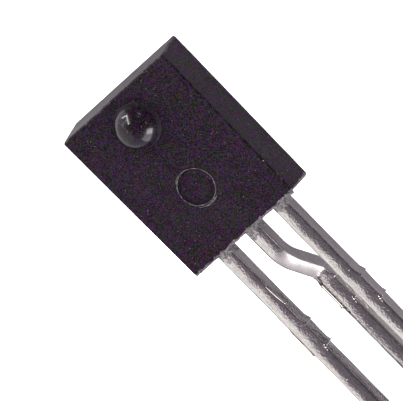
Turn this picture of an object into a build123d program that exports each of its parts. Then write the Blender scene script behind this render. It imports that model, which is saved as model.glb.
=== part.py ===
"""Side-looking photodetector: three formed leads and a light-sensing chip in a black epoxy moulding.

The part lies on its back with the lens up: +X is to the right seen from the lens side, +Y runs up the
body away from the leads, +Z is the way the lens looks. The origin is the middle of the bottom of the
bounding box, so Z = 0 is the floor that the centre lead touches. All lengths are in millimetres.
"""
import os
from math import cos, radians, sin, tan

from build123d import *

# Moulding
body_height = 5.77              # front face, foot to top
body_width_top = 4.62           # front face, across the top
body_width_foot = 4.48          # front face, across the foot, where the leads come out
body_thickness = 1.50
front_thickness = 0.80          # front face to the middle of the leads
end_draft = 3.0                 # degrees that top and foot lean out towards the back
side_draft = 0.2                # degrees that the sides lean out towards the back
top_corner_radius = 0.06
foot_corner_radius = 0.10
front_edge_radius = 0.05
back_edge_radius = 0.05

# Lens and ejector-pin mark on the front face
lens_diameter = 1.49
lens_rise = 0.74                # lens top above the front face
lens_from_foot = 4.65
lens_root_radius = 0.02
pin_mark_diameter = 1.24
pin_mark_depth = 0.08
pin_mark_from_foot = 2.05

# Leads outside the body
lead_width = 0.55
lead_thickness = 0.51
lead_edge_radius = 0.07
lead_pitch = 1.27
lead_length = 15.0              # foot of the body to the tips of the outer leads
joggle_offset = 1.13            # centre lead set back from the outer two
joggle_from_foot = 1.00
joggle_angle = 45
joggle_upper_radius = 0.95      # bend radii on the middle of the lead
joggle_lower_radius = 0.60

# What is left of the dam bar that joined the leads in the strip
dam_bar_from_foot = 3.38
dam_bar_width = 0.90
dam_bar_horn = 0.08             # sharp corner left by the trimming punch
dam_bar_horn_ramp = 0.22
dam_bar_stub = 0.03             # rest of the cut edge, proud of the lead
dam_bar_step = 0.03

# Lead frame inside the body
embed_depth = 0.35              # rounded lead runs this far into the body
lock_notch_from_foot = 1.10
lock_notch_length = 0.36
lock_notch_depth = 0.10
paddle_width = 1.50
paddle_length = 1.90
paddle_above_lens = 0.75        # paddle edge above the lens axis
post_land_width = 0.78          # widened head of an outer lead, for its bond wire
post_land_length = 1.15
post_above_lens = 0.20

# Chip and bonds
die_width = 1.10
die_thickness = 0.28
die_attach_thickness = 0.03
die_attach_margin = 0.05        # glue fillet around the chip
wire_diameter = 0.03            # across the flats of its many-sided section
wire_sides = 8
wire_loop = 0.19                # top of the loop above the chip
wire_bend_radius = 0.05
wire_landing_radius = 0.12
wire_stitch = 0.12              # flat run where the wire is pressed to its land
ball_diameter = 0.09
ball_height = 0.03
bond_pad_inset = 0.11           # pad centre from the edge of the chip
post_bond_inset = 0.36          # wire end from the near edge of its land
paddle_bond_inset = 0.12        # wire end from the lower edge of the paddle

front_z = front_thickness
back_z = front_thickness - body_thickness
half_lead = lead_thickness / 2
top_lean = body_thickness * tan(radians(end_draft))
side_lean = body_thickness * tan(radians(side_draft))
land_z = half_lead
die_z = land_z + die_attach_thickness
die_top_z = die_z + die_thickness
paddle_top = lens_from_foot + paddle_above_lens
paddle_foot = paddle_top - paddle_length

# Shortening of the centre lead: its joggle takes up more strip than the height it spans
bend_radii = joggle_upper_radius + joggle_lower_radius
joggle_turn = radians(joggle_angle)
joggle_slope = (joggle_offset - bend_radii * (1 - cos(joggle_turn))) / sin(joggle_turn)
joggle_height = bend_radii * sin(joggle_turn) + joggle_slope * cos(joggle_turn)
joggle_take_up = bend_radii * joggle_turn + joggle_slope - joggle_height
upward = (Align.CENTER, Align.CENTER, Align.MIN)


def face_outline(lean_end, lean_side):
    """Outline of the body at one depth: a trapezium, a little narrower at the foot."""
    half_top = body_width_top / 2 + lean_side
    half_foot = body_width_foot / 2 + lean_side
    foot, top = -lean_end, body_height + lean_end
    corners = [(-half_foot, foot), (half_foot, foot), (half_top, top), (-half_top, top)]
    return make_face(Polyline(*corners, close=True))


def depth_edges(block, at_top):
    """The two edges that run from back to front at the top or at the foot."""
    runs = [e for e in block.edges() if e.bounding_box().size.Z > body_thickness / 2]
    return [e for e in runs if (e.center().Y > body_height / 2) == at_top]


def moulding():
    """Drafted block with the lens dome and the shallow mark of the ejector pin."""
    back = Pos(0, 0, back_z) * face_outline(top_lean, side_lean)
    front = Pos(0, 0, front_z) * face_outline(0, 0)
    block = loft([back, front], ruled=True)
    block = fillet(depth_edges(block, True), top_corner_radius)
    block = fillet(depth_edges(block, False), foot_corner_radius)
    block = fillet(block.faces().sort_by(Axis.Z)[-1].edges(), front_edge_radius)
    block = fillet(block.faces().sort_by(Axis.Z)[0].edges(), back_edge_radius)
    mark_place = Pos(0, pin_mark_from_foot, front_z - pin_mark_depth)
    block -= mark_place * Cylinder(pin_mark_diameter / 2, 2 * pin_mark_depth, align=upward)
    block += Pos(0, lens_from_foot, front_z) * lens_dome()
    front = block.faces().filter_by(GeomType.PLANE).sort_by(Axis.Z)[-1]
    lens_root = front.edges().filter_by(GeomType.CIRCLE).sort_by(SortBy.RADIUS)[-1]
    return fillet(lens_root, lens_root_radius)


def lens_dome():
    """Spherical cap standing on the front face."""
    sphere = ((lens_diameter / 2) ** 2 + lens_rise ** 2) / (2 * lens_rise)
    ball = Pos(0, 0, lens_rise - sphere) * Sphere(sphere)
    return ball & Cylinder(sphere, lens_rise, align=upward)


def lead_bar(path):
    """Lead wire of the strip, with its edges rounded by tinning, along a path."""
    section = RectangleRounded(lead_width, lead_thickness, lead_edge_radius)
    start = Plane(origin=path @ 0, x_dir=(1, 0, 0), z_dir=path % 0)
    return sweep((start * section).face(), path=path)


def dam_bar_side():
    """What the trimming punch leaves on one side of a lead, between two small horns."""
    foot = -dam_bar_width
    outline = Polyline(
        (-dam_bar_step, dam_bar_horn_ramp),
        (0, dam_bar_horn_ramp),
        (dam_bar_horn, 0),
        (dam_bar_stub, -dam_bar_step),
        (dam_bar_stub, foot + dam_bar_horn_ramp),
        (dam_bar_horn, foot),
        (0, foot - dam_bar_step),
        (-dam_bar_step, foot - dam_bar_step),
        close=True)
    height = lead_thickness - 2 * lead_edge_radius
    return Pos(lead_width / 2, 0, 0) * extrude(make_face(outline), height / 2, both=True)


def dam_bar(x, y, z):
    """Both trimmed sides of the dam bar on one lead."""
    side = dam_bar_side()
    return [Pos(x, y, z) * side, Pos(x, y, z) * mirror(side, Plane.YZ)]


def plate(outline):
    """Piece of the lead frame stamped from the strip."""
    return extrude(make_face(Polyline(*outline, close=True)), half_lead, both=True)


def lock_notches(x):
    """Notches in both sides of a lead that key it into the moulding."""
    notch = Box(2 * lock_notch_depth, lock_notch_length, 2 * lead_thickness)
    return [Pos(x + s * lead_width / 2, lock_notch_from_foot, 0) * notch for s in (-1, 1)]


def outer_lead(side):
    """Straight lead: side is -1 on the left and 1 on the right."""
    x = side * lead_pitch
    bar = lead_bar(Line((x, -lead_length, 0), (x, embed_depth, 0)))
    inner = x - side * lead_width / 2
    outer = x + side * lead_width / 2
    land = inner + side * post_land_width
    top = lens_from_foot + post_above_lens
    shoulder = top - post_land_length
    stem = [(inner, top), (inner, embed_depth), (outer, embed_depth)]
    head = [(outer, shoulder), (land, shoulder), (land, top)]
    lead = bar + plate(stem + head) + dam_bar(x, -dam_bar_from_foot, 0)
    return lead - lock_notches(x)


def joggle_path():
    """Middle line of the centre lead, from its tip up into the body."""
    set_back = -joggle_offset
    tip = joggle_take_up - lead_length
    lower = -joggle_from_foot - joggle_height
    below = Line((0, tip, set_back), (0, lower, set_back))
    plane = Plane(origin=(0, lower, set_back), x_dir=(0, 1, 0), z_dir=(1, 0, 0))
    bend = plane * JernArc((0, 0), (1, 0), joggle_lower_radius, joggle_angle)
    slope_end = bend @ 1 + (bend % 1) * joggle_slope
    slope = Line(bend @ 1, slope_end)
    upper = Plane(origin=slope_end, x_dir=(0, 1, 0), z_dir=(1, 0, 0))
    heading = (cos(joggle_turn), sin(joggle_turn))
    unbend = upper * JernArc((0, 0), heading, joggle_upper_radius, -joggle_angle)
    above = Line(unbend @ 1, (0, embed_depth, 0))
    return Wire([below, bend, slope, unbend, above])


def centre_lead():
    """Lead set back by a joggle, with the paddle that carries the chip."""
    half_neck, half_paddle = lead_width / 2, paddle_width / 2
    neck = [(-half_neck, embed_depth), (half_neck, embed_depth), (half_neck, paddle_foot)]
    paddle = [(half_paddle, paddle_foot), (half_paddle, paddle_top), (-half_paddle, paddle_top)]
    frame = plate(neck + paddle + [(-half_paddle, paddle_foot), (-half_neck, paddle_foot)])
    lead = lead_bar(joggle_path()) + frame
    lead += dam_bar(0, joggle_take_up - dam_bar_from_foot, -joggle_offset)
    return lead - lock_notches(0)


def square_layer(width, bottom, thickness):
    """Square layer centred on the lens axis."""
    return Pos(0, lens_from_foot, bottom) * Box(width, width, thickness, align=upward)


def bond_wire(pad, land):
    """Gold wire from a ball on the chip's pad, over a loop, to a pressed stitch on a land."""
    start, end = Vector(*pad), Vector(*land)
    along = end - start
    rise = die_top_z + ball_height / 2
    landing = land_z + wire_diameter / 2
    plane = Plane(origin=(start.X, start.Y, 0), x_dir=along, z_dir=along.cross(Vector(0, 0, 1)))
    loop = FilletPolyline(
        (0, rise),
        (0, die_top_z + wire_loop),
        (along.length - wire_stitch, landing),
        (along.length, landing),
        radius=[wire_bend_radius, wire_landing_radius])
    path = plane * loop
    flats = RegularPolygon(wire_diameter / 2, wire_sides, major_radius=False, rotation=180 / wire_sides)
    section = Plane(origin=path @ 0, x_dir=plane.z_dir, z_dir=path % 0) * flats
    ball = Pos(start.X, start.Y, die_top_z) * Cylinder(ball_diameter / 2, ball_height, align=upward)
    return sweep(section.face(), path=path) + ball


def wires():
    """Supply and output to the outer posts, ground to the paddle."""
    reach = die_width / 2 - bond_pad_inset
    post_x = lead_pitch - lead_width / 2 + post_bond_inset
    pad_y = lens_from_foot + reach
    land_y = lens_from_foot
    paddle_end = (0, paddle_foot + paddle_bond_inset)
    return {
        "supply_wire": bond_wire((-reach, pad_y), (-post_x, land_y)),
        "output_wire": bond_wire((reach, pad_y), (post_x, land_y)),
        "ground_wire": bond_wire((0, lens_from_foot - reach), paddle_end),
    }


inner_parts = {
    "left_lead": outer_lead(-1),
    "centre_lead": centre_lead(),
    "right_lead": outer_lead(1),
    "die_attach": square_layer(die_width + 2 * die_attach_margin, land_z, die_attach_thickness),
    "sensor_die": square_layer(die_width, die_z, die_thickness),
    **wires(),
}
body = moulding()
for part in inner_parts.values():
    body -= part

origin_y = (lead_length - body_height - top_lean) / 2
origin_z = joggle_offset + half_lead
os.makedirs("parts", exist_ok=True)
for name, part in {"package_body": body, **inner_parts}.items():
    export_step(Pos(0, origin_y, origin_z) * part, f"parts/{name}.step")
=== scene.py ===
"""Looks of the side-looking photodetector: a black epoxy body with a polished lens, and three tinned leads.

The shapes are worked in millimetres in the part's frame, lying on the back with the lens up, and
finish_piece() turns them into metres. Places come from the boxes of the CAD nodes, and the other
sizes are the part's own, named below.
"""
from math import atan2, cos, exp, pi, radians, sin

import bmesh
import bpy
from mathutils import Matrix, Vector, noise


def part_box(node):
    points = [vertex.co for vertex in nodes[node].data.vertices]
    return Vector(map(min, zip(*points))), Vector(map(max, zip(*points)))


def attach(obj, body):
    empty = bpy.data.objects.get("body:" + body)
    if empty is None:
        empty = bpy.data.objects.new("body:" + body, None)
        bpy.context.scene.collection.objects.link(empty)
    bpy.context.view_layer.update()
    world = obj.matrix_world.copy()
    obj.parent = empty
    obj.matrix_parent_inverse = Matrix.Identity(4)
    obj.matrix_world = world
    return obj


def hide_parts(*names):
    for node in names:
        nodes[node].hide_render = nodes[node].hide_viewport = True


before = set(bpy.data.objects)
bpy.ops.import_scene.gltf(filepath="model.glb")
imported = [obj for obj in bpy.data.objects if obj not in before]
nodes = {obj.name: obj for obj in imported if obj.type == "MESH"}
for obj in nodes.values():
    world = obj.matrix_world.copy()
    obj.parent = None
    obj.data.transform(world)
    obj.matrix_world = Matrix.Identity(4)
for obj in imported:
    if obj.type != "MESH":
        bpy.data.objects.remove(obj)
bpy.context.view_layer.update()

MM = 0.001


def box_mm(node):
    """Box of a CAD node, in millimetres."""
    low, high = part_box(node)
    return low / MM, high / MM


body_low, body_high = box_mm("package_body")
left_low, left_high = box_mm("left_lead")
centre_low = box_mm("centre_lead")[0]
right_low = box_mm("right_lead")[0]

# Moulded body
lens_radius = 0.745
lens_rise = 0.74
lens_flare = 0.02               # rounding where the dome meets the face
lens_from_top = 1.12            # lens axis below the top of the front face
end_lean = 0.0786               # how far the ends lean out towards the back
side_lean = 0.0052              # the same at each side
foot_narrower = 0.070           # each side, at the foot, against the top
top_corner = 0.06
foot_corner = 0.10
front_edge = 0.05
back_edge = 0.05
pin_mark_radius = 0.62
pin_mark_depth = 0.08
pin_mark_floor_edge = 0.06
pin_mark_from_foot = 2.05
pin_mark_aside = -0.05          # off the middle of the body

# Leads
lead_pitch = 1.27
lead_width = 0.55
lead_thickness = 0.51
lead_edge = 0.07                # rounding of the front edges
lead_back_edge = 0.03
lead_tip_edge = 0.025
embed = 0.35                    # how far the tinned part runs into the body
joggle_from_foot = 1.00
joggle_angle = radians(45)
joggle_upper = 0.95             # radii of the two bends, at the middle of the lead
joggle_lower = 0.60
dam_from_foot = 3.38            # remains of the dam bar
dam_width = 0.90
horn_ramp = 0.22                # burr at each end of the remains: its slope above, its step below
horn_step = 0.04
nick_from_foot = 2.10

front_z = body_high.z - lens_rise
back_z = body_low.z
top_y = body_high.y - end_lean
foot_y = body_low.y + end_lean
lens_y = top_y - lens_from_top
pin_mark_y = foot_y + pin_mark_from_foot
foot_half_width = body_high.x - side_lean - foot_narrower
dam_top = foot_y - dam_from_foot
lead_z = (left_low.z + left_high.z) / 2
low_z = lead_thickness / 2


# ---------------------------------------------------------------- shaping

def grid_cuts(bm, axis, places):
    """Cuts the whole mesh square to an axis at each place, so that it can be shaped finely."""
    normal = Vector((0, 0, 0))
    normal[axis] = 1
    for place in places:
        point = Vector((0, 0, 0))
        point[axis] = place
        geom = bm.verts[:] + bm.edges[:] + bm.faces[:]
        bmesh.ops.bisect_plane(bm, geom=geom, dist=1e-5, plane_co=point, plane_no=normal)


def spaced(start, end, step):
    """Places from start to end, about a step apart, both ends left out."""
    count = max(1, round(abs(end - start) / step))
    return [start + (end - start) * i / count for i in range(1, count)]


def runs_along(edge, axis):
    """True for a long edge along an axis."""
    return abs(edge.verts[0].co[axis] - edge.verts[1].co[axis]) > 1


def ease(value):
    """Smooth step from 0 to 1."""
    value = min(1, max(0, value))
    return value * value * (3 - 2 * value)


def ripple(*place):
    """Smooth noise at a place."""
    return noise.noise(Vector(place))


def round_edges(bm, edges, radius, segments):
    """Rounds edges with a given radius."""
    bmesh.ops.bevel(
        bm, geom=list(edges), offset=radius, offset_type="OFFSET", segments=segments,
        profile=0.5, affect="EDGES", clamp_overlap=True, material=-1)


def join_into(bm, extra):
    """Adds another mesh to this one and frees it."""
    mesh = bpy.data.meshes.new("extra")
    extra.to_mesh(mesh)
    extra.free()
    bm.from_mesh(mesh)
    bpy.data.meshes.remove(mesh)


def finish_piece(bm, name, material, replaced=()):
    """Turns a millimetre mesh into a piece of the part, in metres, that rides on the body."""
    bmesh.ops.scale(bm, vec=(MM, MM, MM), verts=bm.verts)
    mesh = bpy.data.meshes.new(name)
    bm.to_mesh(mesh)
    bm.free()
    mesh.materials.append(material)
    mesh.shade_smooth()
    piece = bpy.data.objects.new(name, mesh)
    bpy.context.scene.collection.objects.link(piece)
    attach(piece, "root")
    if replaced:
        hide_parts(*replaced)
    return piece


# ---------------------------------------------------------------- epoxy body

def body_block():
    """Drafted block with rounded edges, before the ejector-pin mark is sunk into it."""
    bm = bmesh.new()
    bmesh.ops.create_cube(bm, size=1)
    half_top = body_high.x - side_lean
    for v in bm.verts:
        at_top, at_front = v.co.y > 0, v.co.z > 0
        half = half_top - (0 if at_top else foot_narrower) + (0 if at_front else side_lean)
        lean = 0 if at_front else end_lean
        side = 1 if v.co.x > 0 else -1
        v.co = (side * half, top_y + lean if at_top else foot_y - lean, front_z if at_front else back_z)
    middle = (top_y + foot_y) / 2
    round_edges(bm, [e for e in bm.edges if runs_along(e, 2) and e.verts[0].co.y > middle], top_corner, 6)
    sharp = [e for e in bm.edges if runs_along(e, 2) and e.calc_face_angle(0) > radians(60)]
    round_edges(bm, sharp, foot_corner, 8)
    for z, radius in ((front_z, front_edge), (back_z, back_edge)):
        rim = [e for e in bm.edges if all(abs(v.co.z - z) < 1e-5 for v in e.verts)]
        round_edges(bm, rim, radius, 6)
    return bm


def pin_mark_cutter():
    """Low round plug of the size of the ejector pin, with a rounded lower rim."""
    bm = bmesh.new()
    bmesh.ops.create_circle(bm, cap_ends=True, segments=128, radius=pin_mark_radius)
    out = bmesh.ops.extrude_face_region(bm, geom=bm.faces[:])
    raised = [g for g in out["geom"] if isinstance(g, bmesh.types.BMVert)]
    bmesh.ops.translate(bm, vec=(0, 0, 2 * pin_mark_depth), verts=raised)
    bmesh.ops.recalc_face_normals(bm, faces=bm.faces)
    rim = [e for e in bm.edges if all(v.co.z < 1e-5 for v in e.verts)]
    round_edges(bm, rim, pin_mark_floor_edge, 5)
    bmesh.ops.translate(bm, vec=(pin_mark_aside, pin_mark_y, front_z - pin_mark_depth), verts=bm.verts)
    return bm


def cut_away(block, cutter):
    """The block with the cutter's shape taken out of it."""
    objects = []
    for bm, name in ((block, "uncut_block"), (cutter, "pin_cutter")):
        mesh = bpy.data.meshes.new(name)
        bm.to_mesh(mesh)
        bm.free()
        objects.append(bpy.data.objects.new(name, mesh))
        bpy.context.scene.collection.objects.link(objects[-1])
    cut = objects[0].modifiers.new("pin_mark", "BOOLEAN")
    cut.operation, cut.solver, cut.object = "DIFFERENCE", "EXACT", objects[1]
    depsgraph = bpy.context.evaluated_depsgraph_get()
    bm = bmesh.new()
    bm.from_mesh(objects[0].evaluated_get(depsgraph).to_mesh())
    for o in objects:
        bpy.data.objects.remove(o)
    return bm


def wear_edges(bm, amount, size):
    """Makes rounded edges a little uneven and lower, as a worn mould leaves them."""
    bm.normal_update()
    moves = []
    for v in bm.verts:
        rounded = min(1, (1 - max(abs(v.normal.x), abs(v.normal.y), abs(v.normal.z))) * 4)
        lift = noise.noise(v.co / size) + 0.5 * noise.noise(v.co / size * 2.7)
        moves.append(v.normal * (rounded * amount * lift - amount * 1.2 * rounded))
    for v, move in zip(bm.verts, moves):
        v.co += move


def epoxy_body(material):
    """Body of the package with its mould-worn edges and the sunk ejector-pin mark."""
    face_step, side_step = 0.12, 0.15
    bm = cut_away(body_block(), pin_mark_cutter())
    grid_cuts(bm, 0, spaced(body_low.x, body_high.x, face_step))
    grid_cuts(bm, 1, spaced(body_low.y, body_high.y, face_step))
    grid_cuts(bm, 2, spaced(back_z, front_z, side_step))
    bmesh.ops.remove_doubles(bm, verts=bm.verts, dist=1e-4)
    wear_edges(bm, 0.012, 0.35)
    body = finish_piece(bm, "epoxy_body", material, ["package_body"])
    sharp = body.modifiers.new("flat_faces", "WEIGHTED_NORMAL")
    sharp.keep_sharp = True


def lens_profile():
    """Half section of the lens: a short flare at the root, then the dome."""
    flare_steps, dome_steps = 6, 28
    points = [(lens_radius + lens_flare, -lens_flare)]
    for i in range(flare_steps + 1):
        a = radians(90) * i / flare_steps
        points.append((lens_radius + lens_flare - lens_flare * sin(a), lens_flare * (1 - cos(a))))
    sphere = (lens_radius ** 2 + lens_rise ** 2) / (2 * lens_rise)
    middle = lens_rise - sphere
    start = atan2(lens_flare - middle, lens_radius)
    for i in range(1, dome_steps + 1):
        a = start + (pi / 2 - start) * i / dome_steps
        points.append((max(0, sphere * cos(a)), middle + sphere * sin(a)))
    return points


def epoxy_lens(material):
    """Dome of the lens, turned about its axis."""
    bm = bmesh.new()
    rim = [bm.verts.new((r, 0, z)) for r, z in lens_profile()]
    line = [bm.edges.new(pair) for pair in zip(rim, rim[1:])]
    bmesh.ops.spin(
        bm, geom=rim + line, cent=(0, 0, 0), axis=(0, 0, 1), angle=2 * pi, steps=96, use_merge=True)
    bmesh.ops.remove_doubles(bm, verts=bm.verts, dist=1e-5)
    open_rim = [e for e in bm.edges if e.is_boundary]
    bmesh.ops.contextual_create(bm, geom=open_rim)
    bmesh.ops.recalc_face_normals(bm, faces=bm.faces)
    bmesh.ops.translate(bm, vec=(0, lens_y, front_z), verts=bm.verts)
    return finish_piece(bm, "epoxy_lens", material, ["package_body"])


def burr_arc(radius, start, turn, half, rise, full=False):
    """Low rounded ridge along an arc of the ejector-pin mark, uneven and thin at its ends."""
    root, step = -0.02, 0.06
    bm = bmesh.new()
    profile = [(-half, root), (-half * 0.8, rise * 0.3), (-half * 0.35, rise), (half * 0.35, rise),
               (half * 0.8, rise * 0.3), (half, root)]
    rim = [bm.verts.new((radius + x, 0, z)) for x, z in profile]
    line = [bm.edges.new(pair) for pair in zip(rim, rim[1:] + rim[:1])]
    if not full:
        line.append(bm.faces.new(rim))
    bmesh.ops.rotate(bm, verts=rim, cent=(0, 0, 0), matrix=Matrix.Rotation(start, 3, "Z"))
    bmesh.ops.spin(
        bm, geom=rim + line, cent=(0, 0, 0), axis=(0, 0, 1), angle=turn, steps=round(turn / step),
        use_merge=full)
    bmesh.ops.remove_doubles(bm, verts=bm.verts, dist=1e-5)
    bmesh.ops.recalc_face_normals(bm, faces=bm.faces)
    for v in bm.verts:
        angle = atan2(v.co.y, v.co.x)
        rough = ripple(angle * 2.2, radius * 9, 3) + 0.6 * ripple(angle * 9, radius * 9, 8)
        swell = max(0.25, 0.85 + 0.35 * abs(sin(angle)) + 0.9 * rough)
        if not full:
            along = ((angle - start) % (2 * pi)) / turn
            swell *= max(0.15, sin(pi * min(1, max(0, along)))) ** 0.5
        reach = Vector((v.co.x, v.co.y)).length
        new = radius + (reach - radius) * swell + 0.010 * ripple(angle * 3, 5, radius)
        v.co.x, v.co.y = v.co.x * new / reach, v.co.y * new / reach
        if v.co.z > 0:
            v.co.z *= swell
    bmesh.ops.translate(bm, vec=(pin_mark_aside, pin_mark_y, front_z), verts=bm.verts)
    return bm


def pin_mark_burr(material):
    """Ragged burr round the ejector-pin mark, doubled on the side of the leads."""
    half, rise = 0.014, 0.012
    bm = burr_arc(pin_mark_radius, 0, 2 * pi, half, 0.011, full=True)
    for outside, start, turn in ((0.060, 232, 72), (0.036, 258, 36), (0.03, 95, 38)):
        join_into(bm, burr_arc(pin_mark_radius + outside, radians(start), radians(turn), half, rise))
    return finish_piece(bm, "pin_mark_burr", material, ["package_body"])


def foot_flash(material):
    """Ragged fin of resin along the front edge of the foot, broadest at the right corner."""
    depth, height, sunk, step = 0.10, 0.035, 0.045, 0.045
    half = foot_half_width - 0.02
    bm = bmesh.new()
    bmesh.ops.create_cube(bm, size=1)
    bmesh.ops.scale(bm, vec=(2 * half, depth, height), verts=bm.verts)
    bmesh.ops.translate(bm, vec=(0, foot_y + sunk, front_z - sunk), verts=bm.verts)
    grid_cuts(bm, 0, spaced(-half, half, step))
    for v in bm.verts:
        x = v.co.x
        ragged = ripple(x / 0.22, 3, 1) + 0.6 * ripple(x / 0.07, 8, 2)
        corner = ease((x - half + 0.42) / 0.34)
        if v.co.y < foot_y + 0.02:
            v.co.y -= max(0, 0.018 + 0.020 * ragged) + 0.060 * corner
        v.co.z += 0.008 * ripple(x / 0.12, 5, 4)
    return finish_piece(bm, "foot_flash", material, ["package_body"])


# ---------------------------------------------------------------- leads

def horn(away, height):
    """Burr at one end of the dam bar's remains: a long slope above it and a short step below."""
    if away < -horn_ramp or away > horn_step:
        return 0
    return height * (1 + away / horn_ramp) if away <= 0 else height * (1 - away / horn_step)


def dam_trim(below, right):
    """How far a trimmed side stands out, at a distance below the start of the dam bar's remains."""
    plateau, first, second = (0.028, 0.08, 0.075) if right else (0.032, 0.055, 0.08)
    stub = plateau if 0 < below < dam_width else 0
    return max(horn(below, first), horn(below - dam_width, second), stub)


def tin_drop(x, ridge, below):
    """How far the tin's surface lies under its ridge, lower still over the dam bar's remains."""
    crown, stub_sink, dent, dent_reach = 0.044, 0.012, 0.010, 0.09
    stub = ease((below + 0.06) / 0.12) * ease((dam_width + 0.04 - below) / 0.10)
    dents = (exp(-((below + 0.05) / dent_reach) ** 2)
             + exp(-((below - dam_width - 0.02) / dent_reach) ** 2))
    return crown * ((x - ridge) / (lead_width / 2)) ** 2 + stub_sink * stub + dent * dents


def lead_blank(tip, root, seed, ridge_top, ridge_tip, lean):
    """Straight tinned lead along Y, centred on X = Z = 0, with the trimmed remains of the dam bar.

    Its faces are crowned by the tin, highest at a ridge that moves from ridge_top to ridge_tip. A lean
    lowers the front below the joggle, more towards the right.
    """
    half, flat = lead_width / 2, lead_thickness / 2
    lean_from_foot, trim_reach = 3.1, 0.10
    bm = bmesh.new()
    bmesh.ops.create_cube(bm, size=1)
    bmesh.ops.scale(bm, vec=(lead_width, root - tip, lead_thickness), verts=bm.verts)
    bmesh.ops.translate(bm, vec=(0, (root + tip) / 2, 0), verts=bm.verts)
    for side, radius, segments in ((1, lead_edge, 5), (-1, lead_back_edge, 3)):
        runs = [e for e in bm.edges if runs_along(e, 1)
                and side * (e.verts[0].co.z + e.verts[1].co.z) > lead_thickness - 1e-4]
        round_edges(bm, runs, radius, segments)
    tips = [e for e in bm.edges if all(abs(v.co.y - tip) < 1e-5 for v in e.verts)]
    round_edges(bm, tips, lead_tip_edge, 2)
    across = [e for e in bm.edges
              if abs(e.verts[0].co.y - e.verts[1].co.y) < 1e-5 and e.calc_length() > flat]
    bmesh.ops.subdivide_edges(bm, edges=across, cuts=7, use_grid_fill=True)
    grid_cuts(bm, 1, spaced(tip + 0.05, root, 0.06))
    trims = [dam_top - d for start in (0, dam_width) for d in (start - horn_ramp, start, start + horn_step)]
    grid_cuts(bm, 1, trims)
    bm.normal_update()
    offset = Vector((seed * 3.1, seed * 5.7, seed * 1.3))
    moves = []
    for v in bm.verts:
        x, y, z = v.co
        below = dam_top - y
        move = v.normal * (0.007 * noise.noise(Vector((x / 0.25, y / 0.6, z / 0.25)) + offset) - 0.004)
        out = dam_trim(below, x > 0)
        out *= ease((abs(x) - half + lead_edge + trim_reach) / trim_reach)
        move.x += out if x > 0 else -out
        ridge = ridge_top + (ridge_tip - ridge_top) * ease(below / 2.5)
        ridge += 0.05 * noise.noise(Vector((0, y / 0.5, 7)) + offset)
        drop = tin_drop(x, ridge, below)
        if abs(z) > flat - lead_edge * 0.2:
            move.z -= drop if z > 0 else -drop
        if z > 0:
            move.z -= lean * ease((foot_y - lean_from_foot - y) / 0.4) * (x + half)
        moves.append(move)
    for v, move in zip(bm.verts, moves):
        v.co += move
    return bm


def add_bead(bm, place, reach, turn=0.0, tilt=0.0):
    """Smooth bead of tin, given its half sizes along X, Y and Z."""
    facing = Matrix.Rotation(turn, 4, "Z") @ Matrix.Rotation(tilt, 4, "X")
    where = Matrix.Translation(place) @ facing @ Matrix.Diagonal((*reach, 1))
    bmesh.ops.create_uvsphere(bm, u_segments=16, v_segments=10, radius=1, matrix=where)


def add_nodules(bm):
    """Small beads of tin at the burr of the trimming punch and here and there on the front."""
    half, flat = lead_width / 2, lead_thickness / 2
    dam_foot = dam_top - dam_width
    for inside, above, sunk, radius in ((0.050, -0.03, 0.024, 0.025), (0.065, -0.12, 0.018, 0.018),
                                        (0.036, 0.05, 0.040, 0.018)):
        add_bead(bm, (half - inside, dam_foot + above, flat - sunk), (radius, radius * 1.2, radius))
    for i in range(4):
        spot = noise.random_vector()
        add_bead(bm, (spot.x * half * 0.6, dam_top + 2.6 * spot.y, flat - 0.016), (0.014, 0.018, 0.014))


def edge_rib(bm, inside, sunk, start, end, radius, seed):
    """Thin square rib of tin that wavers along the left front edge, one flat facing up and outward."""
    rib = bmesh.new()
    facing = Matrix.Rotation(radians(17), 4, "Y") @ Matrix.Rotation(pi / 2, 4, "X")
    middle = (inside - lead_width / 2, (start + end) / 2, lead_thickness / 2 - sunk)
    bmesh.ops.create_cone(
        rib, cap_ends=True, segments=4, radius1=radius, radius2=radius, depth=abs(start - end),
        matrix=Matrix.Translation(middle) @ facing)
    grid_cuts(rib, 1, spaced(end, start, 0.12))
    for e in rib.edges:
        e.smooth = e.calc_face_angle(0) < radians(40)
    for v in rib.verts:
        v.co.x += 0.012 * ripple(0, v.co.y / 0.45, seed)
        v.co.z += 0.010 * ripple(5, v.co.y / 0.7, seed)
    join_into(bm, rib)


def joggle_slope(shift):
    """Length of the straight run between the two bends of the joggle."""
    radii = joggle_upper + joggle_lower
    return (shift - radii * (1 - cos(joggle_angle))) / sin(joggle_angle)


def joggle_take_up(shift):
    """How much longer a lead is along the joggle than straight down."""
    radii, slope = joggle_upper + joggle_lower, joggle_slope(shift)
    return radii * joggle_angle + slope - (radii * sin(joggle_angle) + slope * cos(joggle_angle))


def joggle(bm, shift):
    """Sets the lower part of a straight lead back by the joggle, keeping its length."""
    turn, slope = joggle_angle, joggle_slope(shift)
    upper_arc, lower_arc = joggle_upper * turn, joggle_lower * turn
    start = foot_y - joggle_from_foot
    for v in bm.verts:
        run = start - v.co.y
        z = v.co.z
        if run <= 0:
            continue
        if run < upper_arc:
            a = run / joggle_upper
            y, drop = joggle_upper * sin(a), joggle_upper * (1 - cos(a))
        elif run < upper_arc + slope:
            a, along = turn, run - upper_arc
            y = joggle_upper * sin(turn) + along * cos(turn)
            drop = joggle_upper * (1 - cos(turn)) + along * sin(turn)
        else:
            rest = run - upper_arc - slope
            a = max(0, turn - rest / joggle_lower)
            y = joggle_upper * sin(turn) + slope * cos(turn) + joggle_lower * (sin(turn) - sin(a))
            drop = joggle_upper * (1 - cos(turn)) + slope * sin(turn) + joggle_lower * (cos(a) - cos(turn))
            y += max(0, rest - lower_arc)
        v.co.y = start - y - z * sin(a)
        v.co.z = -drop + z * cos(a)


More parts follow.
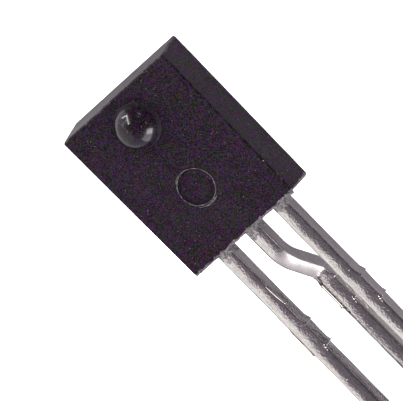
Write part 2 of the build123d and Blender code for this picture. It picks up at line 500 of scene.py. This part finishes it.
def inner_frame(node, keep_above):
    """Part of a lead that lies inside the body, from the CAD node's own mesh."""
    bm = bmesh.new()
    bm.from_mesh(nodes[node].data)
    bmesh.ops.scale(bm, vec=(1 / MM, 1 / MM, 1 / MM), verts=bm.verts)
    bmesh.ops.remove_doubles(bm, verts=bm.verts, dist=1e-4)
    geom = bm.verts[:] + bm.edges[:] + bm.faces[:]
    cut = bmesh.ops.bisect_plane(
        bm, geom=geom, dist=1e-5, plane_co=(0, keep_above, 0), plane_no=(0, -1, 0), clear_outer=True)
    rim = [g for g in cut["geom_cut"] if isinstance(g, bmesh.types.BMEdge)]
    bmesh.ops.holes_fill(bm, edges=rim, sides=0)
    mesh = bpy.data.meshes.new(node + "_inner")
    bm.to_mesh(mesh)
    bm.free()
    return mesh


def tinned_lead(name, node, x, tip, tins, seed, ridge, set_back=0, lean=0, nicked=False):
    """One lead: the tinned part outside with its beads of fresh tin, and the bare frame inside the body.

    The ridge of its tin stands aside by the first number at the dam bar's remains, by the second below.
    """
    root = foot_y + embed
    length = foot_y - tip
    if set_back:
        length += joggle_take_up(set_back)
    noise.seed_set(seed)
    lead = lead_blank(foot_y - length, root, seed, *ridge, lean)
    beads = bmesh.new()
    add_nodules(beads)
    if set_back:
        edge_rib(beads, 0.026, 0.022, foot_y - 4.32, foot_y - length + 0.1, 0.036, seed)
        edge_rib(beads, 0.040, 0.036, foot_y - 3.35, foot_y - 4.28, 0.030, seed)
    if nicked:
        nick = (0.246, foot_y - nick_from_foot, lead_thickness / 2 - 0.036)
        add_bead(beads, nick, (0.036, 0.42, 0.032), radians(3), radians(3))
    inner = inner_frame(node, root)
    dipped, fresh = tins
    for bm, part, material in ((beads, name + "_beads", fresh), (lead, name, dipped)):
        if set_back:
            joggle(bm, set_back)
        bmesh.ops.translate(bm, vec=(x, 0, lead_z), verts=bm.verts)
        if bm is lead:
            bm.from_mesh(inner)
            bpy.data.meshes.remove(inner)
        finish_piece(bm, part, material, [node])


# ---------------------------------------------------------------- materials

def socket(group, name, kind, way, default=None):
    """Adds one named socket to a node group."""
    made = group.interface.new_socket(name=name, in_out=way, socket_type=kind)
    if default is not None:
        made.default_value = default
    return made


def add(tree, kind, **values):
    """Adds a node and sets its fields; names with a capital are its input sockets."""
    made = tree.nodes.new(kind)
    for key, value in values.items():
        if key[0].isupper():
            made.inputs[key.replace("_", " ")].default_value = value
        else:
            setattr(made, key, value)
    return made


def ramp(tree, source, stops):
    """Grey ramp from (place, grey) stops."""
    made = tree.nodes.new("ShaderNodeValToRGB")
    tree.links.new(source, made.inputs[0])
    elements = made.color_ramp.elements
    while len(elements) < len(stops):
        elements.new(0.5)
    for element, (place, grey) in zip(elements, stops):
        element.position = place
        element.color = (grey, grey, grey, 1)
    return made.outputs[0]


def mottle_group():
    """Fine grain, broad mottling and rare specks over a surface, from its own place in the part."""
    group = bpy.data.node_groups.new("mottle", "ShaderNodeTree")
    socket(group, "Grain Scale", "NodeSocketFloat", "INPUT", 20000)
    socket(group, "Cloud Scale", "NodeSocketFloat", "INPUT", 1500)
    socket(group, "Speck Scale", "NodeSocketFloat", "INPUT", 9000)
    socket(group, "Stretch", "NodeSocketVector", "INPUT", (1, 1, 1))
    for name in ("Grain", "Clouds", "Specks"):
        socket(group, name, "NodeSocketFloat", "OUTPUT")
    socket(group, "Hues", "NodeSocketColor", "OUTPUT")
    inp, out = group.nodes.new("NodeGroupInput"), group.nodes.new("NodeGroupOutput")
    stretched = add(group, "ShaderNodeVectorMath", operation="MULTIPLY")
    group.links.new(group.nodes.new("ShaderNodeTexCoord").outputs["Object"], stretched.inputs[0])
    group.links.new(inp.outputs["Stretch"], stretched.inputs[1])
    place = stretched.outputs[0]
    grain = add(group, "ShaderNodeTexNoise", Detail=3.0, Roughness=0.6)
    clouds = add(group, "ShaderNodeTexNoise", Detail=4.0, Roughness=0.55)
    specks = add(group, "ShaderNodeTexVoronoi", Randomness=1.0)
    for texture, scale in ((grain, "Grain Scale"), (clouds, "Cloud Scale"), (specks, "Speck Scale")):
        group.links.new(place, texture.inputs["Vector"])
        group.links.new(inp.outputs[scale], texture.inputs["Scale"])
    spot = ramp(group, specks.outputs["Distance"], [(0.0, 1.0), (0.12, 1.0), (0.2, 0.0)])
    thin = ramp(group, specks.outputs["Color"], [(0.0, 0.0), (0.72, 0.0), (0.78, 1.0)])
    rare = add(group, "ShaderNodeMath", operation="MULTIPLY")
    group.links.new(spot, rare.inputs[0])
    group.links.new(thin, rare.inputs[1])
    group.links.new(grain.outputs["Fac"], out.inputs["Grain"])
    group.links.new(grain.outputs["Color"], out.inputs["Hues"])
    group.links.new(clouds.outputs["Fac"], out.inputs["Clouds"])
    group.links.new(rare.outputs[0], out.inputs["Specks"])
    return group


def start_material(name):
    """New material, with its tree and its shader."""
    material = bpy.data.materials.new(name)
    material.use_nodes = True
    return material, material.node_tree, material.node_tree.nodes["Principled BSDF"]


def place_mottle(tree, mottle, grain, clouds, specks, stretch=(1, 1, 1)):
    """Puts the mottle group into a material with its own scales."""
    made = tree.nodes.new("ShaderNodeGroup")
    made.node_tree = mottle
    made.inputs["Grain Scale"].default_value = grain
    made.inputs["Cloud Scale"].default_value = clouds
    made.inputs["Speck Scale"].default_value = specks
    made.inputs["Stretch"].default_value = stretch
    return made.outputs


def mix_colour(tree, factor, first, second, mode="MIX"):
    """Mixes two colours, each a socket or a fixed colour."""
    made = add(tree, "ShaderNodeMix", data_type="RGBA", blend_type=mode)
    for index, value in ((0, factor), (6, first), (7, second)):
        if isinstance(value, (int, float)):
            made.inputs[index].default_value = value
        elif isinstance(value, tuple):
            made.inputs[index].default_value = (*value, 1)
        else:
            tree.links.new(value, made.inputs[index])
    return made.outputs[2]


def tinge(tree, colour, by):
    """Multiplies one colour by another."""
    return mix_colour(tree, 1.0, colour, by, "MULTIPLY")


def calc(tree, operation, first, second=0.0, third=0.0):
    """One Math node from sockets or numbers."""
    made = add(tree, "ShaderNodeMath", operation=operation)
    for index, value in enumerate((first, second, third)):
        if isinstance(value, (int, float)):
            made.inputs[index].default_value = value
        else:
            tree.links.new(value, made.inputs[index])
    return made.outputs[0]


def product(tree, first, *more):
    """All the masks multiplied together."""
    for value in more:
        first = calc(tree, "MULTIPLY", first, value)
    return first


def smooth_range(tree, value, taken, given=(0.0, 1.0)):
    """Eases a value from one range to another."""
    made = add(tree, "ShaderNodeMapRange", interpolation_type="SMOOTHSTEP")
    tree.links.new(value, made.inputs["Value"])
    for name, number in zip(("From Min", "From Max", "To Min", "To Max"), (*taken, *given)):
        made.inputs[name].default_value = number
    return made.outputs["Result"]


def fade(tree, place, start, end, given=(0.0, 1.0)):
    """Eases between two numbers while a place goes from start to end, in millimetres."""
    return smooth_range(tree, place, (start * MM, end * MM), given)


def bump(tree, shader, height, distance, strength=1.0):
    """Feeds a height into the shader's normal."""
    made = add(tree, "ShaderNodeBump", Strength=strength, Distance=distance)
    tree.links.new(height, made.inputs["Height"])
    tree.links.new(made.outputs[0], shader.inputs["Normal"])


def object_place(tree):
    """X, Y and Z of a point in the part's own frame, in metres."""
    place = add(tree, "ShaderNodeSeparateXYZ")
    tree.links.new(tree.nodes.new("ShaderNodeTexCoord").outputs["Object"], place.inputs[0])
    return place.outputs


def painted_end_highlights(tree, mottle):
    """Ragged lighter strips along the foot and top edges of the body: a painted highlight where these edges
    catch the light, broken up like rubbed epoxy.
    """
    spots = place_mottle(tree, mottle, 16000, 4600, 9000)
    wander = calc(tree, "MULTIPLY_ADD", spots["Clouds"], 0.26 * MM, -0.13 * MM)
    along = calc(tree, "ADD", object_place(tree)["Y"], wander)
    foot = fade(tree, along, foot_y + 0.035, foot_y + 0.065, (1.0, 0.0))
    top = fade(tree, along, top_y - 0.035, top_y, (0.0, 0.24))
    broken = smooth_range(tree, spots["Grain"], (0.42, 0.58), (0.10, 1.0))
    faint = smooth_range(tree, spots["Clouds"], (0.35, 0.65), (0.8, 1.0))
    return calc(tree, "MAXIMUM", product(tree, foot, broken), product(tree, top, faint))


def painted_edge_shade_and_nicks(tree, mottle):
    """Thin broken dark line along the front edges of the sides, painted shade for the dark reflection in
    their rounding, and the nicks on it.
    """
    place = object_place(tree)
    spots = place_mottle(tree, mottle, 24000, 7000, 8000)
    narrowing = foot_narrower / (top_y - foot_y)
    at_top = body_high.x - side_lean - 0.01
    edge = calc(tree, "MULTIPLY_ADD", place["Y"], narrowing, (at_top - narrowing * top_y) * MM)
    wander = calc(tree, "MULTIPLY_ADD", spots["Clouds"], 0.05 * MM, -0.025 * MM)
    outside = calc(tree, "SUBTRACT", calc(tree, "ABSOLUTE", place["X"]), calc(tree, "ADD", edge, wander))
    line = product(
        tree,
        fade(tree, calc(tree, "ABSOLUTE", outside), 0.018, 0.036, (1.0, 0.0)),
        fade(tree, place["Z"], front_z - 0.055, front_z - 0.04),
        smooth_range(tree, spots["Clouds"], (0.44, 0.56)))
    return line, product(tree, line, spots["Specks"])


def epoxy_grain(tree, spots, darkest, lightest):
    """Black of the epoxy, whose fine grains are green or purple, warm or cold, and dark or light."""
    green, purple = (0.004, 0.0125, 0.001), (0.0185, 0.0, 0.0235)
    warm, cold = (1.25, 1.0, 0.5), (0.75, 1.0, 1.5)
    cast = add(tree, "ShaderNodeSeparateColor")
    tree.links.new(spots["Hues"], cast.inputs[0])
    base = mix_colour(tree, smooth_range(tree, cast.outputs["Red"], (0.45, 0.55)), green, purple)
    shift = smooth_range(tree, cast.outputs["Blue"], (0.42, 0.58))
    base = tinge(tree, base, mix_colour(tree, shift, warm, cold))
    base = tinge(tree, base, smooth_range(tree, cast.outputs["Green"], (0.42, 0.58), (darkest, lightest)))
    return mix_colour(tree, calc(tree, "MULTIPLY", spots["Specks"], 0.7), base, (0.10, 0.09, 0.095))


def matte_finish(mottle):
    """Infrared-pass epoxy of the body: spark-eroded, a little hazed and nicked, with painted shade along
    its side edges and painted highlights along its foot and top.
    """
    material, tree, shader = start_material("matte_black_epoxy")
    spots = place_mottle(tree, mottle, 24000, 22000, 11000, (1, 1, 0.5))
    base = epoxy_grain(tree, spots, 0.15, 1.6)
    broad = place_mottle(tree, mottle, 5200, 620, 9000)
    haze = product(tree, smooth_range(tree, broad["Clouds"], (0.46, 0.68), (0.0, 0.12)), broad["Grain"])
    # line is painted shade: a dark line along the side edges for the dark reflection in their rounding;
    # nicks are light chips on it.
    line, nicks = painted_edge_shade_and_nicks(tree, mottle)
    # Haze and nicks are the epoxy's own; line is painted shade and the end strips are painted highlights.
    for mask, colour in ((haze, (0.034, 0.031, 0.029)), (line, (0.0015, 0.001, 0.0015)),
                         (nicks, (0.30, 0.28, 0.27)), (painted_end_highlights(tree, mottle), (0.13, 0.119, 0.121))):
        base = mix_colour(tree, mask, base, colour)
    tree.links.new(base, shader.inputs["Base Color"])
    rough = calc(tree, "MULTIPLY_ADD", spots["Grain"], 0.16, 0.42)
    tree.links.new(calc(tree, "MAXIMUM", rough, line), shader.inputs["Roughness"])
    shader.inputs["Specular IOR Level"].default_value = 0.065
    bump(tree, shader, spots["Grain"], 0.020 * MM, 0.8)
    return material


def polished_finish(mottle):
    """The same epoxy on the lens: polished, and duller towards its root."""
    material, tree, shader = start_material("polished_black_epoxy")
    spots = place_mottle(tree, mottle, 24000, 22000, 11000, (1, 1, 0.5))
    tree.links.new(epoxy_grain(tree, spots, 0.1, 1.2), shader.inputs["Base Color"])
    rough = calc(tree, "MULTIPLY_ADD", spots["Grain"], 0.16, 0.09)
    root = fade(tree, object_place(tree)["Z"], front_z + 0.34, front_z + 0.02, (0.0, 0.6))
    tree.links.new(calc(tree, "ADD", rough, root), shader.inputs["Roughness"])
    shader.inputs["Specular IOR Level"].default_value = 0.24
    bump(tree, shader, spots["Grain"], 0.0008 * MM, 0.8)
    return material


def rubbed_painted_highlight_finish(mottle):
    """Ridge of rubbed epoxy, greyer than the moulded face: the rubbed resin's own grey with a painted
    highlight on it, broken here and there.
    """
    material, tree, shader = start_material("rubbed_black_epoxy_painted_highlight")
    spots = place_mottle(tree, mottle, 24000, 9000, 9000)
    shade = ramp(tree, spots["Clouds"], [(0.42, 0.0), (0.60, 1.0)])
    # Lighter grey: the rubbed resin's own, brightened further as a painted highlight.
    grey = mix_colour(tree, shade, (0.012, 0.009, 0.013), (0.09, 0.080, 0.086))
    tree.links.new(grey, shader.inputs["Base Color"])
    shader.inputs["Roughness"].default_value = 0.5
    bump(tree, shader, spots["Grain"], 0.01 * MM, 0.6)
    return material


def drawn_streaks(tree):
    """Long faint streaks along the leads, left by the drawing and dipping."""
    stretch = add(tree, "ShaderNodeMapping", Scale=(24000, 1500, 24000))
    tree.links.new(tree.nodes.new("ShaderNodeTexCoord").outputs["Object"], stretch.inputs["Vector"])
    streaks = add(tree, "ShaderNodeTexNoise", Scale=1.0, Detail=2.0)
    tree.links.new(stretch.outputs[0], streaks.inputs["Vector"])
    return smooth_range(tree, streaks.outputs["Fac"], (0.38, 0.62), (0.93, 1.03))


def brown_stain(tree, place, spots):
    """Broken brown line by the left front edge of the centre lead, below the joggle."""
    aside = calc(tree, "ABSOLUTE", calc(tree, "ADD", place["X"], 0.195 * MM))
    return product(
        tree,
        fade(tree, aside, 0.015, 0.045, (1.0, 0.0)),
        fade(tree, place["Y"], foot_y - 4.0, foot_y - 3.8),
        fade(tree, place["Y"], foot_y - 2.9, foot_y - 3.05),
        smooth_range(tree, spots["Grain"], (0.42, 0.55), (0.0, 0.9)))


def painted_dark_edge_reflection(tree, place, spots):
    """Thin dark line along the left front edge of each lead, painted shade for the dark reflection in the
    rounded edge.
    """
    offset = calc(tree, "WRAP", place["X"], lead_pitch / 2 * MM, -lead_pitch / 2 * MM)
    away = calc(tree, "ABSOLUTE", calc(tree, "ADD", offset, 0.255 * MM))
    return product(
        tree,
        fade(tree, away, 0.022, 0.040, (1.0, 0.0)),
        smooth_range(tree, spots["Clouds"], (0.38, 0.55), (0.35, 0.9)))


def formed_run(tree, place):
    """Run of the joggle, where the forming tool smoothed and dulled the tin."""
    return product(
        tree,
        fade(tree, place["Y"], foot_y - 1.10, foot_y - 1.40),
        fade(tree, place["Y"], foot_y - 2.70, foot_y - 2.40),
        fade(tree, calc(tree, "ABSOLUTE", place["X"]), 0.4, 0.6, (1.0, 0.0)))


def dipped_finish(mottle):
    """Hot-dipped tin: bright and mottled, and dull where resin ran onto it beside the body."""
    material, tree, shader = start_material("hot_dipped_tin")
    spots = place_mottle(tree, mottle, 15500, 3000, 7000)
    place = object_place(tree)
    patches = ramp(tree, spots["Clouds"], [(0.35, 0.0), (0.7, 1.0)])
    base = mix_colour(tree, patches, (0.42, 0.400, 0.395), (0.48, 0.458, 0.445))
    base = tinge(tree, base, drawn_streaks(tree))
    base = tinge(tree, base, smooth_range(tree, spots["Grain"], (0.40, 0.58), (0.91, 1.03)))
    wander = calc(tree, "MULTIPLY_ADD", spots["Clouds"], 1.1 * MM, -0.55 * MM)
    near_body = calc(tree, "ADD", place["Y"], wander)
    film = fade(tree, near_body, foot_y - 0.36, foot_y - 0.27, (0.0, 0.85))
    pits = ramp(tree, spots["Grain"], [(0.42, 0.0), (0.60, 1.0)])
    base = mix_colour(tree, film, base, mix_colour(tree, pits, (0.04, 0.034, 0.04), (0.23, 0.213, 0.218)))
    base = mix_colour(tree, brown_stain(tree, place, spots), base, (0.11, 0.042, 0.026))
    # Painted shade: dark line along the left front edge of each lead.
    base = mix_colour(tree, painted_dark_edge_reflection(tree, place, spots), base, (0.12, 0.10, 0.10))
    tree.links.new(base, shader.inputs["Base Color"])
    tree.links.new(calc(tree, "MULTIPLY_ADD", film, -0.7, 1.0), shader.inputs["Metallic"])
    formed = formed_run(tree, place)
    rough = calc(tree, "MULTIPLY_ADD", spots["Grain"], 0.14, 0.10)
    rough = calc(tree, "MULTIPLY_ADD", formed, 0.22, rough)
    tree.links.new(calc(tree, "MULTIPLY_ADD", film, 0.3, rough), shader.inputs["Roughness"])
    dents = add(tree, "ShaderNodeTexNoise", Scale=15000, Detail=1.0)
    tree.links.new(tree.nodes.new("ShaderNodeTexCoord").outputs["Object"], dents.inputs["Vector"])
    height = calc(tree, "MULTIPLY_ADD", spots["Grain"], 0.3, dents.outputs["Fac"])
    height = calc(tree, "MULTIPLY_ADD", spots["Specks"], 0.5, height)
    height = product(tree, height, calc(tree, "MULTIPLY_ADD", formed, -0.6, 1.0))
    bump(tree, shader, height, 0.010 * MM, 0.9)
    return material


def fresh_finish(mottle):
    """Beads and scrapes of tin that are still bright."""
    material, tree, shader = start_material("fresh_tin")
    spots = place_mottle(tree, mottle, 20000, 6000, 9000)
    base = mix_colour(tree, spots["Clouds"], (0.74, 0.70, 0.69), (0.86, 0.83, 0.82))
    tree.links.new(base, shader.inputs["Base Color"])
    shader.inputs["Metallic"].default_value = 1.0
    rough = calc(tree, "MULTIPLY_ADD", spots["Grain"], 0.10, 0.05)
    tree.links.new(rough, shader.inputs["Roughness"])
    return material


def inner_finish(mottle, name, first, second, metallic, roughness):
    """Finish of a sealed inner piece."""
    material, tree, shader = start_material(name)
    spots = place_mottle(tree, mottle, 22000, 3000, 9000)
    tree.links.new(mix_colour(tree, spots["Clouds"], first, second), shader.inputs["Base Color"])
    shader.inputs["Metallic"].default_value = metallic
    rough = calc(tree, "MULTIPLY_ADD", spots["Grain"], 0.1, roughness)
    tree.links.new(rough, shader.inputs["Roughness"])
    return material


def repaint(node, material):
    """Gives a CAD node that stays in view a better material."""
    mesh_object = nodes[node]
    if not mesh_object.material_slots:
        mesh_object.data.materials.append(material)
    for material_slot in mesh_object.material_slots:
        material_slot.material = material


# ---------------------------------------------------------------- studio

def view_axes():
    """Right, up and back of the camera in the part's frame."""
    side, rise, roll = radians(28.28), radians(4.84), radians(44.50)
    back = Vector((sin(side) * cos(rise), sin(rise), cos(side) * cos(rise)))
    level = Vector((cos(side), 0, -sin(side)))
    up = back.cross(level)
    return (level * cos(roll) - up * sin(roll), level * sin(roll) + up * cos(roll), back)


def place_camera():
    """Long lens from above the lens side, the part running down to the right."""
    distance, view_width, aim_right, aim_down = 455.0, 12.272, 1.945, 2.280
    right, up, back = view_axes()
    aim = Vector((0, lens_y, front_z)) + aim_right * right - aim_down * up
    data = bpy.data.cameras.new("camera")
    data.sensor_width = 36
    data.lens = data.sensor_width * distance / view_width
    data.clip_start, data.clip_end = 0.01, 10
    camera = bpy.data.objects.new("camera", data)
    turn = Matrix((right, up, back)).transposed().to_4x4()
    camera.matrix_world = Matrix.Translation((aim + back * distance) * MM) @ turn
    bpy.context.scene.collection.objects.link(camera)
    bpy.context.scene.camera = camera


def softbox(name, towards, distance, width, height, radiance):
    """Area light that faces the part from a direction in the part's frame; distance and size in metres."""
    data = bpy.data.lights.new(name, "AREA")
    data.shape, data.size, data.size_y = "RECTANGLE", width, height
    data.energy = radiance * width * height * pi
    light = bpy.data.objects.new(name, data)
    way = Vector(towards).normalized()
    light.location = way * distance + Vector((0, foot_y + 1, 1)) * MM
    light.rotation_mode = "QUATERNION"
    light.rotation_quaternion = way.to_track_quat("Z", "Y")
    light.visible_camera = False
    bpy.context.scene.collection.objects.link(light)
    return light


def strip_light(name, start, end, width, radiance):
    """Thin area light that spans two directions in the part's frame."""
    distance = 0.30
    first, last = Vector(start).normalized(), Vector(end).normalized()
    length = (last - first).length * distance
    light = softbox(name, first + last, distance, length, width, radiance)
    way = (first + last).normalized()
    along = (last - first).normalized()
    light.rotation_quaternion = Matrix((along, way.cross(along), way)).transposed().to_quaternion()
    return light


def room_light():
    """Room that is bright low on the left, dim overhead and dark behind; plain where it is in view."""
    world = bpy.data.worlds.new("room")
    world.use_nodes = True
    tree = world.node_tree
    way = add(tree, "ShaderNodeSeparateXYZ")
    around = tree.nodes.new("ShaderNodeTexCoord").outputs["Generated"]
    tree.links.new(around, way.inputs[0])
    across, along, height = way.outputs["X"], way.outputs["Y"], way.outputs["Z"]
    clutter = add(tree, "ShaderNodeTexNoise", Scale=14.0, Detail=4.0)
    tree.links.new(around, clutter.inputs["Vector"])
    clutter = clutter.outputs["Fac"]
    ragged = calc(tree, "ADD", across, calc(tree, "MULTIPLY_ADD", clutter, 0.10, -0.05))
    wall = product(
        tree, smooth_range(tree, ragged, (-0.245, -0.46)),
        smooth_range(tree, along, (-0.25, -0.6), (1.0, 0.35)))
    ceiling = product(
        tree, smooth_range(tree, across, (0.50, 0.00), (0.10, 0.28)),
        smooth_range(tree, clutter, (0.36, 0.64), (0.5, 1.6)))
    foot_wall = smooth_range(tree, along, (-0.35, -0.72), (0.0, 0.45))
    glow = calc(tree, "MULTIPLY_ADD", wall, 1.42, calc(tree, "ADD", ceiling, foot_wall))
    low = calc(tree, "MAXIMUM", calc(tree, "SUBTRACT", 1.0, calc(tree, "MULTIPLY", height, 5.0)), 0.0)
    horizon = product(tree, low, smooth_range(tree, across, (0.1, -0.3), (0.0, 0.1)))
    lit = tree.nodes["Background"]
    tint = mix_colour(tree, calc(tree, "MAXIMUM", wall, foot_wall), (1.0, 0.88, 1.03), (1.0, 0.985, 0.965))
    tree.links.new(tint, lit.inputs["Color"])
    tree.links.new(calc(tree, "ADD", glow, horizon), lit.inputs["Strength"])
    seen = add(tree, "ShaderNodeBackground", Color=(0.93, 0.93, 0.93, 1), Strength=1.0)
    choose = tree.nodes.new("ShaderNodeMixShader")
    tree.links.new(tree.nodes.new("ShaderNodeLightPath").outputs["Is Camera Ray"], choose.inputs[0])
    tree.links.new(lit.outputs[0], choose.inputs[1])
    tree.links.new(seen.outputs[0], choose.inputs[2])
    tree.links.new(choose.outputs[0], tree.nodes["World Output"].inputs["Surface"])
    bpy.context.scene.world = world


def table_painted_light_and_shade(tree):
    """What the part sees of the table, all painted light and shade: grey near the part and darker between
    the leads as painted shadow, painted dark far to the right and past the top, and bright past the top
    left as a painted light patch.
    """
    place = object_place(tree)
    beside = fade(tree, calc(tree, "ABSOLUTE", place["X"]), 3.6, 5.0)
    far = product(tree, beside, fade(tree, place["Y"], foot_y - 1, foot_y - 6))
    past_foot = fade(tree, place["Y"], foot_y, foot_y - 0.4)
    # Painted shadow: grey near the part and darker between the leads past the foot.
    shade = (0.54, 0.515, 0.555)
    for start, end, darker in ((0.3, 0.5, (0.33, 0.31, 0.34)), (1.3, 1.7, (0.25, 0.235, 0.26))):
        past = product(tree, fade(tree, place["X"], start, end), past_foot)
        shade = mix_colour(tree, past, shade, darker)
    shade = mix_colour(tree, far, shade, (0.58, 0.58, 0.58))
    # Painted shade: dark far to the right and past the top.
    right_side = fade(tree, place["X"], 5, 7)
    top_side = fade(tree, place["Y"], top_y + 4, top_y + 6)
    shade = mix_colour(tree, calc(tree, "MAXIMUM", right_side, top_side), shade, (0.08, 0.08, 0.08))
    # Painted light: pale past the top left of the body.
    left_part = fade(tree, place["X"], -0.2, -1.2)
    past_top = fade(tree, place["Y"], top_y + 0.4, top_y + 1.2)
    return mix_colour(tree, product(tree, left_part, past_top), shade, (0.93, 0.92, 0.9))


def table_top():
    """Plain pale back-lit table that the part lies on; its glow shows to the eye but not in the tin, which
    sees the table's painted light and shade instead.
    """
    bm = bmesh.new()
    bmesh.ops.create_circle(bm, cap_ends=True, segments=96, radius=1.5)
    mesh = bpy.data.meshes.new("floor")
    bm.to_mesh(mesh)
    bm.free()
    material, tree, shader = start_material("pale_table")
    shader.inputs["Roughness"].default_value = 0.9
    shader.inputs["Specular IOR Level"].default_value = 0.0
    shader.inputs["Emission Color"].default_value = (1, 1, 1, 1)
    eye = tree.nodes.new("ShaderNodeLightPath").outputs["Is Camera Ray"]
    tree.links.new(calc(tree, "MULTIPLY", eye, 0.80), shader.inputs["Emission Strength"])
    shade = mix_colour(tree, eye, table_painted_light_and_shade(tree), (0.93, 0.93, 0.93))
    tree.links.new(shade, shader.inputs["Base Color"])
    mesh.materials.append(material)
    floor = bpy.data.objects.new("floor", mesh)
    bpy.context.scene.collection.objects.link(floor)


def studio():
    """Pale table, room light, windows, and wide fills that give no reflection of their own."""
    bpy.context.scene.view_settings.view_transform = "Standard"
    room_light()
    table_top()
    softbox("foot_window", (0.209, -0.949, 0.24), 0.30, 0.30, 0.26, 5.0)
    softbox("foot_side_window", (0.52, -0.82, 0.26), 0.30, 0.12, 0.15, 12.0)
    softbox("top_window", (-0.22, 0.82, 0.50), 0.35, 0.30, 0.09, 2.5)
    strip_light("top_strip", (-0.362, 0.925, 0.114), (0.053, 0.981, 0.184), 0.018, 50.0)
    strip_light("side_strip", (0.053, 0.981, 0.184), (-0.031, 0.591, 0.806), 0.018, 52.0)
    strip_light("dim_strip", (0.72, 0.69, 0.05), (0.86, 0.45, 0.15), 0.02, 8.0)
    for fill in (softbox("overhead_fill", (0, 0, 1), 0.60, 1.6, 1.6, 1.0),
                 softbox("side_fill", (1, 0, 0.12), 0.50, 0.8, 0.5, 3.2)):
        fill.visible_glossy = False


# ---------------------------------------------------------------- build

mottle = mottle_group()
matte_epoxy = matte_finish(mottle)
rubbed_painted_highlight_epoxy = rubbed_painted_highlight_finish(mottle)
polished_epoxy = polished_finish(mottle)
tins = (dipped_finish(mottle), fresh_finish(mottle))

epoxy_body(matte_epoxy)
epoxy_lens(polished_epoxy)
pin_mark_burr(rubbed_painted_highlight_epoxy)
foot_flash(rubbed_painted_highlight_epoxy)
tinned_lead("left_tinned_lead", "left_lead", -lead_pitch, left_low.y, tins, 1, (-0.05, -0.18), nicked=True)
tinned_lead(
    "centre_tinned_lead", "centre_lead", 0, centre_low.y, tins, 2, (0.00, -0.10),
    set_back=lead_z - low_z, lean=0.08)
tinned_lead("right_tinned_lead", "right_lead", lead_pitch, right_low.y, tins, 3, (-0.10, -0.12))

repaint("sensor_die", inner_finish(mottle, "silicon", (0.05, 0.05, 0.08), (0.1, 0.1, 0.14), 0.3, 0.15))
repaint("die_attach", inner_finish(mottle, "silver_glue", (0.45, 0.45, 0.45), (0.6, 0.6, 0.6), 0.6, 0.45))
gold = inner_finish(mottle, "bond_gold", (0.85, 0.6, 0.2), (0.95, 0.72, 0.3), 1.0, 0.2)
for wire in ("supply_wire", "output_wire", "ground_wire"):
    repaint(wire, gold)

place_camera()
studio()
